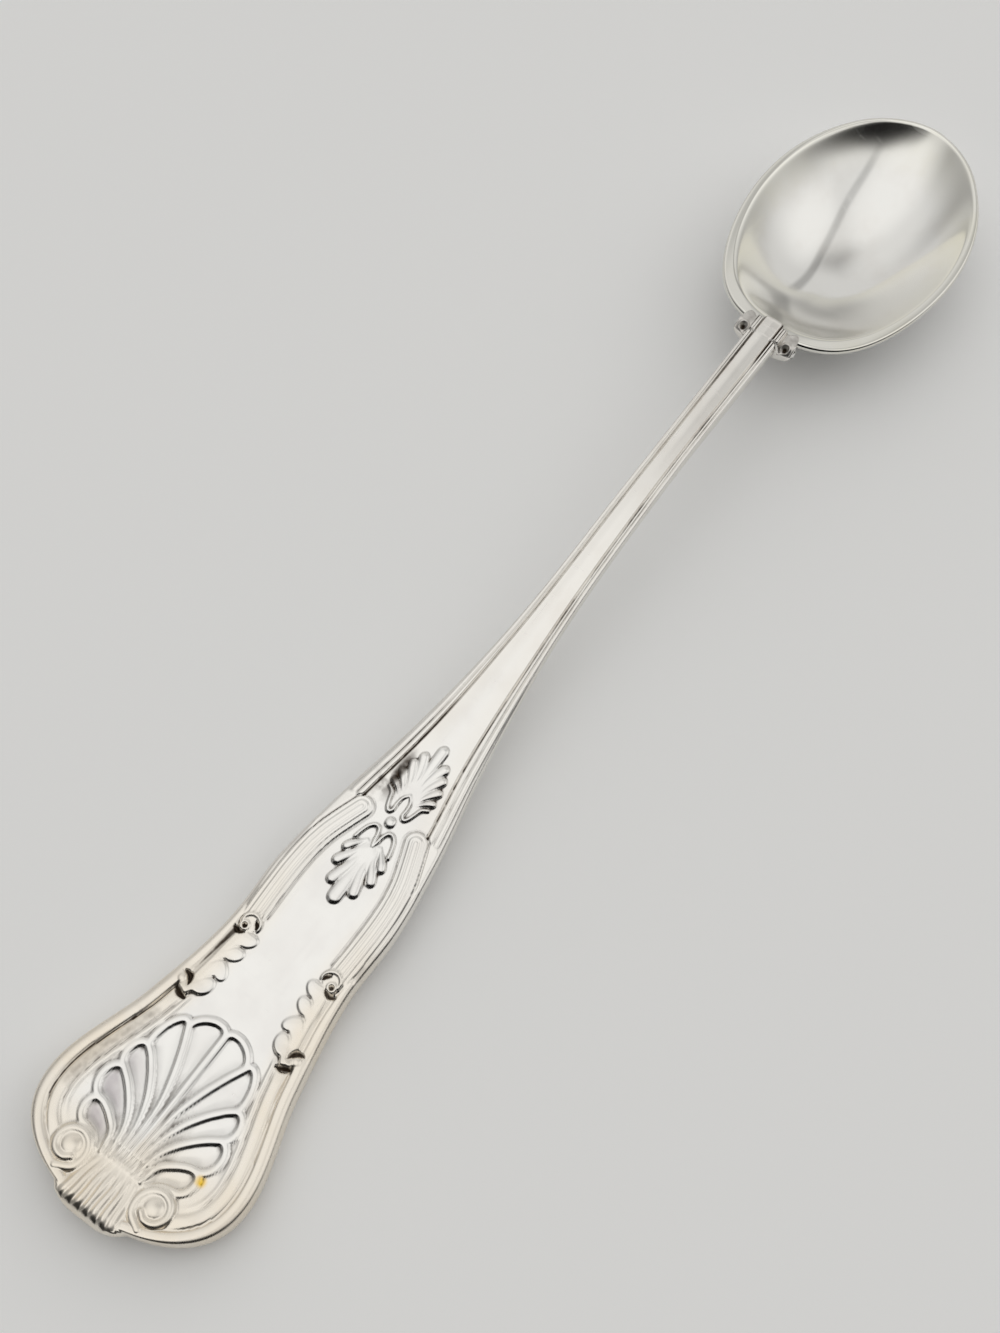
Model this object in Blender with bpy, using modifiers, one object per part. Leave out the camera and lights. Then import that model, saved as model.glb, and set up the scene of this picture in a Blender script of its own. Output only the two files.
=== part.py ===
"""A silver-plated salad serving spoon with a shell and scroll handle.

The bowl is pressed from sheet. The handle is struck in dies, with its ornament in relief on the face,
and ends in a tongue that runs on under the bowl. A fillet of silver solder goes round the tongue and
holds the two together. The spoon lies along X, bowl towards +X and face up, as it rests on a table.
"""
import math

import bmesh
import bpy
import numpy as np

# Bowl, in metres. Distances along the spoon are measured from the scroll end of the handle.
BOWL_LENGTH = 0.0615
BOWL_WIDTH = 0.0413
BOWL_WIDEST = 0.0319
BOWL_WALL = 0.0013
RIM_HEIGHT = 0.0126
RIM_ROUND = 0.0003
HEEL_RISE = 0.0024
HEEL_SWEEP = 6.0
TIP_RISE = 0.0016
TIP_SWEEP = 2.0
HEEL_SQUARENESS = 2.30
TIP_SQUARENESS = 1.85
BOWL_FULLNESS = 2.1
HEEL_LIP = 0.0040
SIDE_LIP = 0.0014
TIP_LIP = 0.0008
LIP_SOFTNESS = 0.08

# Plan of the handle: its width at named places along it
HANDLE_LENGTH = 0.1825
KNOT_WIDTH = 0.0106
KNOT_OVERHANG = 0.0006
SCROLL_START = 0.0013
TERMINAL_WIDTH = 0.0342
TERMINAL_AT = 0.0140
TERMINAL_FULLNESS = 2.3
SHOULDER_WIDTH = 0.0258
SHOULDER_AT = 0.0300
WAIST_WIDTH = 0.0203
WAIST_AT = 0.0460
BAND_WIDTH = 0.0206
BAND_AT = 0.0575
LOOP_WIDTH = 0.0177
LOOP_AT = 0.0700
CREST_WIDTH = 0.0126
CREST_AT = 0.0850
TAPER_WIDTH = 0.0076
TAPER_AT = 0.1080
STEM_WIDTH = 0.0057
STEM_AT = 0.1420
LUG_WIDTH = 0.0112
LUG_LENGTH = 0.0023
LUG_RAMP = 0.0008
LUG_DROP = 0.0022
TONGUE_LENGTH = 0.0135
TONGUE_WIDTH = 0.0090
TONGUE_TIP_WIDTH = 0.0018
TONGUE_SHOULDER = 0.0022
TONGUE_THICKNESS = 0.0020
TONGUE_TIP_THICKNESS = 0.0010

# Side of the handle: heights of its face above the table, and its thickness
END_HEIGHT = 0.0068
DISH_HEIGHT = 0.0056
DISH_AT = 0.0100
PLATE_HEIGHT = 0.0050
PLATE_AT = 0.0250
BAND_HEIGHT = 0.0065
MIDDLE_HEIGHT = 0.0109
MIDDLE_AT = 0.0995
STEM_HEIGHT = 0.0162
HEEL_HEIGHT = 0.0172
END_THICKNESS = 0.0042
PLATE_THICKNESS = 0.0056
BAND_THICKNESS = 0.0046
STEM_THICKNESS = 0.0052
NOSE_ROUND = 0.0022
NOSE_FLAT = 0.0001
EDGE_BULGE = 0.0011
STEM_BULGE = 0.0003
BACK_CHAMFER = 0.0009

# Ornament on the face of the handle: heights and widths, then where each form lies
RELIEF = 0.0009
LOW_RELIEF = 0.0006
HIGH_RELIEF = 0.0012
RIDGE_WIDTH = 0.0021
BEAD_WIDTH = 0.0022
BORDER_WIDTH = 0.0042
KNOT_LENGTH = 0.0080
KNOT_RISE = 0.0010
KNOT_RIBS = 5
RIB_RISE = 0.0003
VOLUTE_X = 0.0067
VOLUTE_Y = 0.0073
VOLUTE_RADIUS = 0.0032
VOLUTE_EYE = 0.0016
VOLUTE_TURNS = 1.1
SHELL_ROOT = 0.0085
SHELL_ROOT_WIDTH = 0.0070
SHELL_KNEE = (0.64, 0.12)
SHELL_BULGE = 0.35
SHELL_NOTCHES = ((0.0308, 0.0), (0.0294, 0.0056), (0.0238, 0.0086), (0.0188, 0.0094),
                 (0.0136, 0.0090), (0.0095, 0.0082))
LEAF_START = 0.0325
LEAF_END = 0.0462
LEAF_LOBES = 4
LEAF_LOBE = 0.0023
LEAF_INSET = 0.0032
BAND_LOOP = ((0.0475, 0.0079), (0.0570, 0.0083), (0.0640, 0.0076), (0.0680, 0.0063), (0.0706, 0.0054))
BAND_REED = 0.0013
PALMETTE_BASE = 0.0690
PALMETTE_TIPS = ((0.0556, 0.0), (0.0587, 0.0024), (0.0612, 0.0036), (0.0637, 0.0040), (0.0662, 0.0034))
CREST_BASE = 0.0752
CREST_TIPS = ((0.0862, 0.0), (0.0832, 0.0021), (0.0815, 0.0030), (0.0795, 0.0037), (0.0776, 0.0040))
PETAL_KNEE = (0.60, 0.25)
PETAL_WIDTH = 0.0015
BEAD_AT = 0.0712
BEAD_RADIUS = 0.0011
THREAD_INSET = 0.0012
THREAD_GROOVE = 0.0010

# The soldered lap
SOLDER_CLEARANCE = 0.0003
SOLDER_RADIUS = 0.0006
SOLDER_START = 0.0061

# Fineness of the meshes
FACE_COLUMNS = 34
NOSE_ROWS = 8
ORNAMENT_ROWS = 100
STEM_ROWS = 18
LUG_ROWS = 16
TONGUE_ROWS = 12
BOWL_SEGMENTS = 48
BOWL_RINGS = 20
PATH_STEPS = 8
EDGE_STEPS = 160
RIM_STEPS = 2
SHARP_EDGE = math.radians(50)
RIM_CORNER = math.radians(60)

bowl_tip_reach = BOWL_LENGTH - BOWL_WIDEST
bowl_centre = HANDLE_LENGTH + BOWL_WIDEST
bowl_tip = HANDLE_LENGTH + BOWL_LENGTH
bowl_depth = RIM_HEIGHT - BOWL_WALL
handle_start = NOSE_FLAT - KNOT_OVERHANG
tongue_end = HANDLE_LENGTH + TONGUE_LENGTH


def smooth_line(knots, x):
    """Height at x of the cubic curve that passes smoothly through the given (station, value) knots."""
    stations, values = np.array(knots, dtype=float).T
    slopes = np.gradient(values, stations)
    i = np.clip(np.searchsorted(stations, x) - 1, 0, len(stations) - 2)
    span = stations[i + 1] - stations[i]
    t = np.clip((x - stations[i]) / span, 0.0, 1.0)
    rise = values[i] * (1 + 2 * t) * (1 - t) ** 2 + values[i + 1] * t * t * (3 - 2 * t)
    lean = slopes[i] * t * (1 - t) ** 2 - slopes[i + 1] * t * t * (1 - t)
    return rise + span * lean


def ease(t):
    """Smooth step from 0 to 1."""
    t = np.clip(t, 0.0, 1.0)
    return t * t * (3 - 2 * t)


def bowl_inside(x, y):
    """Height of the bowl's inner face: a hollow that rises to the rim line and flattens into a lip."""
    along = x - bowl_centre
    heel = along < 0
    reach = np.where(heel, BOWL_WIDEST, bowl_tip_reach)
    power = np.where(heel, HEEL_SQUARENESS, TIP_SQUARENESS)
    u = np.abs(along) / reach
    v = np.abs(y) / (BOWL_WIDTH / 2)
    s = (u ** power + v ** power) ** (1 / power)
    side_lip = SIDE_LIP / (BOWL_WIDTH / 2)
    end_lip = np.where(heel, HEEL_LIP, TIP_LIP) / reach
    endwise = np.divide(u, s, out=np.zeros_like(s), where=s > 0) ** 2
    hollow = (s * (1 + side_lip + (end_lip - side_lip) * endwise)) ** BOWL_FULLNESS
    filled = (hollow - np.hypot(hollow - 1, LIP_SOFTNESS) + math.hypot(1, LIP_SOFTNESS)) / 2
    rim = RIM_HEIGHT + np.where(heel, HEEL_RISE * u ** HEEL_SWEEP, TIP_RISE * u ** TIP_SWEEP)
    return rim - bowl_depth * (1 - filled)


def bowl_lean(x, y):
    """Slopes of the bowl's inner face along and across the spoon."""
    step = BOWL_WALL / 10
    lean_x = (bowl_inside(x + step, y) - bowl_inside(x - step, y)) / (2 * step)
    lean_y = (bowl_inside(x, y + step) - bowl_inside(x, y - step)) / (2 * step)
    return lean_x, lean_y


def under_bowl(x, y, drop):
    """Height of a surface that lies the distance drop below the bowl's inner face, square to it."""
    lean_x, lean_y = bowl_lean(x, y)
    return bowl_inside(x, y) - drop * np.sqrt(1 + lean_x ** 2 + lean_y ** 2)


def rim_overhang(x):
    """Distance that the bowl's wall stands out past its inner rim at one end of the middle line."""
    lean = abs(float(bowl_lean(np.array(x), np.array(0.0))[0]))
    return BOWL_WALL * lean / math.hypot(1.0, lean)


spoon_tip = bowl_tip + rim_overhang(bowl_tip)
lap_start = HANDLE_LENGTH - rim_overhang(HANDLE_LENGTH) - SOLDER_CLEARANCE


def half_width(x):
    """Half the width of the handle's face: knot, round terminal, waist, band, stem, lugs, tongue."""
    u = np.clip((TERMINAL_AT - x) / (TERMINAL_AT - SCROLL_START), 0.0, 1.0)
    terminal = TERMINAL_WIDTH / 2 * np.sqrt(1 - u ** TERMINAL_FULLNESS)
    nose = np.clip(1 - (x + KNOT_OVERHANG) / NOSE_ROUND, 0.0, 1.0)
    knot = KNOT_WIDTH / 2 * np.sqrt(1 - nose ** 2 / 2)
    body = smooth_line(((TERMINAL_AT - NOSE_ROUND, TERMINAL_WIDTH / 2), (TERMINAL_AT, TERMINAL_WIDTH / 2),
                        (SHOULDER_AT, SHOULDER_WIDTH / 2), (WAIST_AT, WAIST_WIDTH / 2),
                        (BAND_AT, BAND_WIDTH / 2), (LOOP_AT, LOOP_WIDTH / 2), (CREST_AT, CREST_WIDTH / 2),
                        (TAPER_AT, TAPER_WIDTH / 2), (STEM_AT, STEM_WIDTH / 2),
                        (HANDLE_LENGTH, STEM_WIDTH / 2)), x)
    width = np.where(x < TERMINAL_AT, np.maximum(terminal, knot), body)
    width = width + (LUG_WIDTH / 2 - width) * ease((x - lap_start + LUG_LENGTH + LUG_RAMP) / LUG_RAMP)
    along = np.clip((x - HANDLE_LENGTH) / TONGUE_LENGTH, 0.0, 1.0) ** 3
    tongue = np.sqrt(TONGUE_WIDTH ** 2 * (1 - along) + TONGUE_TIP_WIDTH ** 2 * along) / 2
    return width + (tongue - width) * ease((x - HANDLE_LENGTH) / TONGUE_SHOULDER)


def face_height(x):
    """Height above the table of the handle's plain face along its middle."""
    return smooth_line(((0.0, END_HEIGHT), (DISH_AT, DISH_HEIGHT), (PLATE_AT, PLATE_HEIGHT),
                        (BAND_AT, BAND_HEIGHT), (MIDDLE_AT, MIDDLE_HEIGHT), (STEM_AT, STEM_HEIGHT),
                        (HANDLE_LENGTH, HEEL_HEIGHT)), x)


def thickness(x):
    """Thickness of the handle between its plain face and its back."""
    return smooth_line(((0.0, END_THICKNESS), (TERMINAL_AT, PLATE_THICKNESS), (LEAF_START, PLATE_THICKNESS),
                        (BAND_AT, BAND_THICKNESS), (STEM_AT, STEM_THICKNESS),
                        (HANDLE_LENGTH, STEM_THICKNESS)), x)


def edge_bulge(x):
    """Distance that the handle's edge swells out past its face."""
    return smooth_line(((0.0, EDGE_BULGE), (LOOP_AT, EDGE_BULGE), (TAPER_AT, STEM_BULGE),
                        (HANDLE_LENGTH, STEM_BULGE)), x)


def distance_to(x, y, path):
    """Least distance from each point to a path of straight steps."""
    nearest = np.full(x.shape, np.inf)
    for (ax, ay), (bx, by) in zip(path[:-1], path[1:]):
        length_2 = max((bx - ax) ** 2 + (by - ay) ** 2, 1e-18)
        t = np.clip(((x - ax) * (bx - ax) + (y - ay) * (by - ay)) / length_2, 0.0, 1.0)
        nearest = np.minimum(nearest, np.hypot(x - ax - t * (bx - ax), y - ay - t * (by - ay)))
    return nearest


def crest(distance, width, height):
    """Smooth ridge of the given width and height, at a distance from its middle line."""
    return height * (1 - ease(2 * np.abs(distance) / width))


def bend(start, middle, end):
    """Points along the quadratic curve from start to end that is drawn towards middle."""
    t = np.linspace(0.0, 1.0, PATH_STEPS + 1)[:, None]
    start, middle, end = (np.array(p) for p in (start, middle, end))
    return (1 - t) ** 2 * start + 2 * t * (1 - t) * middle + t * t * end


def kneed(start, end, knee):
    """Curve that sets out along the spoon and turns outwards at its knee, a share along and across."""
    start, end = np.array(start), np.array(end)
    return bend(start, start + np.array(knee) * (end - start), end)


def shell_relief(x, y):
    """Fan of ridges from the shell's root to its notches, and a bulging edge from notch to notch."""
    height = np.zeros(x.shape)
    notches = np.array(SHELL_NOTCHES)
    roots = np.linspace(0.0, SHELL_ROOT_WIDTH / 2, len(notches))
    for notch, root_y in zip(notches, roots):
        ridge = kneed((SHELL_ROOT, root_y), notch, SHELL_KNEE)
        height = np.maximum(height, crest(distance_to(x, y, ridge), RIDGE_WIDTH, RELIEF))
    for first, second in zip(notches[:-1], notches[1:]):
        along = second - first
        outward = np.array((along[1], -along[0]))
        edge = bend(first, (first + second) / 2 + outward * 2 * SHELL_BULGE, second)
        height = np.maximum(height, crest(distance_to(x, y, edge), RIDGE_WIDTH, RELIEF))
    return height


def volute_relief(x, y):
    """Spiral thread that the border curls into, with a round eye."""
    turn = np.linspace(math.pi, math.pi * (2 * VOLUTE_TURNS + 1), 4 * PATH_STEPS)
    radius = np.linspace(VOLUTE_RADIUS, VOLUTE_EYE, len(turn))
    path = np.stack((VOLUTE_X + radius * np.cos(turn), VOLUTE_Y + radius * np.sin(turn)), axis=1)
    spiral = crest(distance_to(x, y, path), RIDGE_WIDTH, HIGH_RELIEF)
    eye = crest(np.hypot(x - VOLUTE_X, y - VOLUTE_Y), 2 * VOLUTE_EYE, HIGH_RELIEF)
    return np.maximum(spiral, eye)


def border_relief(x, y):
    """Raised bead along the edge of the terminal, dying away into the leaves, and a thread on the stem."""
    stations = np.linspace(SCROLL_START, HANDLE_LENGTH, EDGE_STEPS)
    edge = np.stack((stations, half_width(stations)), axis=1)
    inset = distance_to(x, y, edge)
    on_terminal = 1 - ease((x - LEAF_START + BORDER_WIDTH) / BORDER_WIDTH)
    bead = crest(inset - BEAD_WIDTH / 2, BEAD_WIDTH, RELIEF)
    inner = crest(inset - BORDER_WIDTH, RIDGE_WIDTH, LOW_RELIEF) * (x > VOLUTE_X)
    on_stem = ease((x - BEAD_AT) / BORDER_WIDTH) * (x < lap_start - LUG_LENGTH)
    groove = crest(inset - THREAD_INSET, THREAD_GROOVE, -LOW_RELIEF)
    return np.maximum(bead, inner) * on_terminal + groove * on_stem


def leaf_relief(x, y):
    """Leaf along each side of the waist: a row of round lobes on its inner side, and an end scroll."""
    centres = np.linspace(LEAF_START, LEAF_END, LEAF_LOBES + 2)[1:]
    height = np.zeros(x.shape)
    for lobe_x in centres:
        lobe_y = half_width(np.array(lobe_x)) - LEAF_INSET
        height = np.maximum(height, crest(np.hypot(x - lobe_x, y - lobe_y), 2 * LEAF_LOBE, RELIEF))
    return height


def band_relief(x, y):
    """Reeded band along each side above the waist that bends inwards and stops in a round loop."""
    near = distance_to(x, y, BAND_LOOP)
    return np.maximum(crest(near - BAND_REED, BAND_REED, LOW_RELIEF), crest(near, BAND_REED, LOW_RELIEF))


def palmette_relief(x, y, base, tips):
    """Fan of round-ended petals from a base point to each tip."""
    petals = [distance_to(x, y, kneed((base, 0.0), tip, PETAL_KNEE)) for tip in tips]
    return crest(np.minimum.reduce(petals), PETAL_WIDTH, RELIEF)


def knot_relief(x, y):
    """Ribbed tie across the end between the volutes: a saddle with ribs running lengthwise."""
    inside = ease((KNOT_WIDTH / 2 - y) / RIDGE_WIDTH) * ease((KNOT_LENGTH - x) / RIDGE_WIDTH)
    rib = np.cos(2 * math.pi * KNOT_RIBS * y / KNOT_WIDTH)
    return inside * (KNOT_RISE + RIB_RISE * rib)


def ornament(x, y):
    """Height of all the relief above the handle's plain face; y is the distance from the middle line."""
    forms = np.maximum.reduce((shell_relief(x, y), volute_relief(x, y), leaf_relief(x, y),
                               band_relief(x, y), knot_relief(x, y),
                               palmette_relief(x, y, PALMETTE_BASE, PALMETTE_TIPS),
                               palmette_relief(x, y, CREST_BASE, CREST_TIPS),
                               crest(np.hypot(x - BEAD_AT, y), 2 * BEAD_RADIUS, HIGH_RELIEF)))
    border = border_relief(x, y)
    return np.maximum(forms, border) + np.minimum(border, 0.0) * (forms <= 0)


def handle_stations():
    """Distances from the scroll end at which the handle's cross-sections are taken."""
    lug_start = lap_start - LUG_LENGTH - 2 * LUG_RAMP
    ornament_end = CREST_TIPS[0][0] + PETAL_WIDTH
    return np.concatenate((np.linspace(handle_start, NOSE_ROUND, NOSE_ROWS),
                           np.linspace(NOSE_ROUND, ornament_end, ORNAMENT_ROWS + 1)[1:],
                           np.linspace(ornament_end, lug_start, STEM_ROWS + 1)[1:],
                           np.linspace(lug_start, lap_start, LUG_ROWS + 1)[1:],
                           np.linspace(lap_start + SOLDER_CLEARANCE / 2, tongue_end, TONGUE_ROWS)))


def handle_sections():
    """Closed rings of points round the handle, one ring for each station: face, edge, back, edge."""
    x = handle_stations()
    width = half_width(x)
    lapped = x > lap_start
    columns = np.linspace(-1.0, 1.0, FACE_COLUMNS + 1)
    face_x = np.repeat(x[:, None], len(columns), axis=1)
    face_y = width[:, None] * columns
    plain = face_height(x)
    on_lug = ease((face_x - lap_start + LUG_LENGTH + LUG_RAMP) / LUG_RAMP)
    beside_stem = ease((np.abs(face_y) - STEM_WIDTH / 2) / LUG_RAMP)
    face = plain[:, None] + ornament(face_x, np.abs(face_y)) - LUG_DROP * on_lug * beside_stem
    below = under_bowl(face_x, face_y, BOWL_WALL + SOLDER_CLEARANCE)
    face = np.where(lapped[:, None], np.minimum(face, below), face)
    along = np.clip((x - HANDLE_LENGTH) / TONGUE_LENGTH, 0.0, 1.0)
    tongue_depth = TONGUE_THICKNESS + (TONGUE_TIP_THICKNESS - TONGUE_THICKNESS) * along
    lap = under_bowl(x, np.zeros(x.shape), BOWL_WALL + SOLDER_CLEARANCE)
    back = np.maximum(plain - thickness(x), 0.0)
    back = np.where(lapped, np.minimum(lap - tongue_depth, back), back)
    nose = np.sqrt(1 - np.clip(1 - (x + KNOT_OVERHANG) / NOSE_ROUND, 0.0, 1.0) ** 2)
    middle = (plain + back) / 2
    face = middle[:, None] + (face - middle[:, None]) * nose[:, None]
    back = middle + (back - middle) * nose
    edge_z = (np.minimum(face[:, 0], face[:, -1]) + back) / 2
    edge_y = width + edge_bulge(x) * (1 - along)
    back_y = width - BACK_CHAMFER * (1 - along)
    rings = [np.stack((face_x[:, i], face_y[:, i], face[:, i]), axis=1) for i in range(len(columns))]
    rings.append(np.stack((x, edge_y, edge_z), axis=1))
    for share in (1.0, 0.0, -1.0):
        rings.append(np.stack((x, share * back_y, back), axis=1))
    rings.append(np.stack((x, -edge_y, edge_z), axis=1))
    return np.stack(rings, axis=1)


def silver(name, colour, roughness):
    """Plain metal material."""
    material = bpy.data.materials.new(name)
    material.use_nodes = True
    shader = material.node_tree.nodes["Principled BSDF"]
    shader.inputs["Base Color"].default_value = (*colour, 1.0)
    shader.inputs["Metallic"].default_value = 1.0
    shader.inputs["Roughness"].default_value = roughness
    return material


def place(name, data, material):
    """Object of the given name in the spoon's collection, carried by its middle."""
    obj = bpy.data.objects.new(name, data)
    data.materials.append(material)
    spoon.objects.link(obj)
    obj.parent = middle_of_spoon
    return obj


def make_handle():
    """Loft through the handle's rings, closed at both ends."""
    rings = handle_sections()
    rows, around = rings.shape[:2]
    bm = bmesh.new()
    grid = [[bm.verts.new(point) for point in ring] for ring in rings]
    for i in range(rows - 1):
        for j in range(around):
            k = (j + 1) % around
            bm.faces.new((grid[i][j], grid[i][k], grid[i + 1][k], grid[i + 1][j]))
    bm.faces.new(grid[0][::-1])
    bm.faces.new(grid[-1])
    bmesh.ops.recalc_face_normals(bm, faces=bm.faces)
    bmesh.ops.triangulate(bm, faces=bm.faces)
    mesh = bpy.data.meshes.new("handle")
    bm.to_mesh(mesh)
    bm.free()
    mesh.shade_smooth()
    mesh.set_sharp_from_angle(angle=SHARP_EDGE)
    return place("handle", mesh, silver("silver plate, struck", (0.86, 0.84, 0.80), 0.22))


def make_bowl():
    """Lower half of a sphere drawn out to the bowl's plan and depth, then given its wall."""
    bm = bmesh.new()
    bmesh.ops.create_uvsphere(bm, u_segments=BOWL_SEGMENTS, v_segments=BOWL_RINGS, radius=1.0)
    upper = [v for v in bm.verts if v.co.z > 1e-4]
    bmesh.ops.delete(bm, geom=upper, context="VERTS")
    for vert in bm.verts:
        s = math.hypot(vert.co.x, vert.co.y)
        turn = math.atan2(vert.co.y, vert.co.x)
        heel = math.cos(turn) < 0
        power = 2 / (HEEL_SQUARENESS if heel else TIP_SQUARENESS)
        reach = BOWL_WIDEST if heel else bowl_tip_reach
        x = bowl_centre + s * reach * math.copysign(abs(math.cos(turn)) ** power, math.cos(turn))
        y = s * BOWL_WIDTH / 2 * math.copysign(abs(math.sin(turn)) ** power, math.sin(turn))
        vert.co = (x, y, float(bowl_inside(np.array(x), np.array(y))))
    bmesh.ops.recalc_face_normals(bm, faces=bm.faces)
    if sum(face.normal.z * face.calc_area() for face in bm.faces) > 0:
        bmesh.ops.reverse_faces(bm, faces=bm.faces)
    mesh = bpy.data.meshes.new("bowl")
    bm.to_mesh(mesh)
    bm.free()
    mesh.shade_smooth()
    bowl = place("bowl", mesh, silver("silver plate, polished", (0.88, 0.87, 0.84), 0.08))
    wall = bowl.modifiers.new("wall", "SOLIDIFY")
    wall.thickness = BOWL_WALL
    wall.offset = 1.0
    wall.use_even_offset = True
    rim = bowl.modifiers.new("rim", "BEVEL")
    rim.width = RIM_ROUND
    rim.segments = RIM_STEPS
    rim.limit_method = "ANGLE"
    rim.angle_limit = RIM_CORNER
    return bowl


def make_solder():
    """Round fillet that follows the tongue's outline in the corner below the bowl."""
    standoff = SOLDER_RADIUS + SOLDER_CLEARANCE
    slide = np.linspace(math.asin(SOLDER_START / TONGUE_LENGTH), math.pi / 2, 2 * PATH_STEPS)
    stations = HANDLE_LENGTH + TONGUE_LENGTH * np.sin(slide)
    side = half_width(stations) + standoff + STEM_BULGE
    tip_turn = np.linspace(math.pi / 2, -math.pi / 2, PATH_STEPS)[1:-1]
    tip_x = tongue_end + side[-1] * np.cos(tip_turn)
    tip_y = side[-1] * np.sin(tip_turn)
    x = np.concatenate((stations, tip_x, stations[::-1]))
    y = np.concatenate((side, tip_y, -side[::-1]))
    z = under_bowl(x, y, BOWL_WALL + standoff)
    curve = bpy.data.curves.new("solder_seam", "CURVE")
    curve.dimensions = "3D"
    curve.bevel_depth = SOLDER_RADIUS
    curve.bevel_resolution = 1
    curve.use_fill_caps = True
    spline = curve.splines.new("POLY")
    spline.points.add(len(x) - 1)
    for point, co in zip(spline.points, zip(x, y, z)):
        point.co = (*co, 1.0)
    return place("solder_seam", curve, silver("silver solder", (0.74, 0.73, 0.70), 0.35))


for old in list(bpy.data.objects):
    bpy.data.objects.remove(old, do_unlink=True)

spoon = bpy.data.collections.new("salad_serving_spoon")
bpy.context.scene.collection.children.link(spoon)
middle_of_spoon = bpy.data.objects.new("middle_of_spoon", None)
middle_of_spoon.location = (-(handle_start + spoon_tip) / 2, 0.0, 0.0)
spoon.objects.link(middle_of_spoon)

make_handle()
make_bowl()
make_solder()
bpy.context.view_layer.update()
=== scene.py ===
"""A salad serving spoon in silver plate with a shell and scroll handle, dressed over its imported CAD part.

The spoon lies along X with its bowl towards +X and its face up. Lengths are in millimetres, measured
along the spoon from the scroll end of the handle, and go to metres as each mesh is made.
"""
import math

import bpy
import numpy as np
from mathutils import Matrix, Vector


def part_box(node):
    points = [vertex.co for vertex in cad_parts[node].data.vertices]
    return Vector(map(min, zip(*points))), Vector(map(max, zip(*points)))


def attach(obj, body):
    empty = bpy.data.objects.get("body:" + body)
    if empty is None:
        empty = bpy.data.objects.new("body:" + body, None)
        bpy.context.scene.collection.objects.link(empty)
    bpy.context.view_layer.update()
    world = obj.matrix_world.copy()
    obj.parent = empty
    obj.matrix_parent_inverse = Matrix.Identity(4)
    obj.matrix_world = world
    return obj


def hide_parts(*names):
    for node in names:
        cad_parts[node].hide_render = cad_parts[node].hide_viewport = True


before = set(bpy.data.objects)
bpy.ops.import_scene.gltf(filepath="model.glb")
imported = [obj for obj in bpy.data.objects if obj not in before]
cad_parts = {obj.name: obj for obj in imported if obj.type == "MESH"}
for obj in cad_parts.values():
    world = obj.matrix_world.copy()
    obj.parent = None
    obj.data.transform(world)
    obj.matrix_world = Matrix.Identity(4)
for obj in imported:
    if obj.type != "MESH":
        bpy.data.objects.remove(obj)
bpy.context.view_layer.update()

# Bowl: pressed from one sheet of nickel silver, with its edge turned out into a narrow lip that widens
# where the stem is soldered on. Silver plated, and buffed inside to a mirror that use has scratched.
MM = 0.001
HANDLE_NOSE = -0.5
SCROLL_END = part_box("handle")[0].x / MM - HANDLE_NOSE
BOWL_HEEL = 182.5
BOWL_CENTRE = 214.4
BOWL_REACH = 30.75
REACH_CHANGE = 1.15
REACH_SPREAD = 9.0
BOWL_HALF_WIDTH = 20.65
BOWL_WALL = 1.3
BOWL_DEPTH = 11.3
RIM_HEIGHT = 12.6
HEEL_RISE = 2.4
TIP_RISE = 1.6
HEEL_SWEEP = 6
TIP_SWEEP = 2
HEEL_POWER = 2.30
SIDE_POWER = 2.0
TIP_POWER = 1.85
BOWL_FULLNESS = 2.0
FULLNESS_CHANGE = 0.22
HEEL_LIP = 0.125
SIDE_LIP = 0.075
TIP_LIP = 0.0
HEEL_SOFTNESS = 0.08
TIP_SOFTNESS = 0.03
RIM_ROUND = 0.55
DENT_HEIGHT = 0.035
LIP_TONE_FROM = 0.72
LIP_TONE_SPAN = 0.20
BOWL_TURNS = 288
INNER_RINGS = 90
RIM_RINGS = 9
OUTER_RINGS = 50
FIRST_RING = 0.004
REACH_ROUNDS = 6
PLATE_BRIGHT = (0.800, 0.794, 0.770, 1)
PLATE_CLOUDED = (0.765, 0.750, 0.720, 1)
LIP_CREAM_REFLECTION = (0.790, 0.775, 0.700, 1)
BOWL_SCRATCHES = ((0.4, (40, 1200, 300)), (-0.9, (900, 60, 300)))


def by_turn(c, heel, side, tip):
    """Value at a turn with cosine c: the side's, going over to the tip's or heel's with the square of c."""
    return side + (tip - side) * np.maximum(c, 0) ** 2 + (heel - side) * np.minimum(c, 0) ** 2


def bowl_reach(along):
    """Reach of the bowl from its centre: a soft step from the longer reach at the heel to the tip's."""
    return BOWL_REACH - REACH_CHANGE * np.tanh(along / REACH_SPREAD)


def bowl_place(x, y):
    """Place in the bowl's plan: s, 0 at the middle and 1 at the rim, on superellipses whose power runs from
    square at the heel to pointed at the tip, u, the share along, and c, the cosine of the turn."""
    along = x - BOWL_CENTRE
    u = along / bowl_reach(along)
    v = y / BOWL_HALF_WIDTH
    c = u / np.maximum(np.hypot(u, v), 1e-9)
    power = by_turn(c, HEEL_POWER, SIDE_POWER, TIP_POWER)
    s = (np.abs(u) ** power + np.abs(v) ** power) ** (1 / power)
    return s, u, c


def bowl_inside(x, y):
    """Height of the bowl's inner face: the rim line less the depth, filled up by a power of s that grows from
    heel to tip. Past the lip's inner edge a hyperbola holds the filling near 1, which makes the lip flat."""
    s, u, c = bowl_place(x, y)
    rim = RIM_HEIGHT + HEEL_RISE * np.maximum(-u, 0) ** HEEL_SWEEP + TIP_RISE * np.maximum(u, 0) ** TIP_SWEEP
    lip = by_turn(c, HEEL_LIP, SIDE_LIP, TIP_LIP)
    hollow = (s * (1 + lip)) ** (BOWL_FULLNESS + FULLNESS_CHANGE * np.clip(u, -1, 1))
    softness = by_turn(c, HEEL_SOFTNESS, TIP_SOFTNESS, TIP_SOFTNESS)
    filled = (hollow - np.hypot(hollow - 1, softness) + np.hypot(1, softness)) / 2
    return rim - BOWL_DEPTH * (1 - filled)


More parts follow.
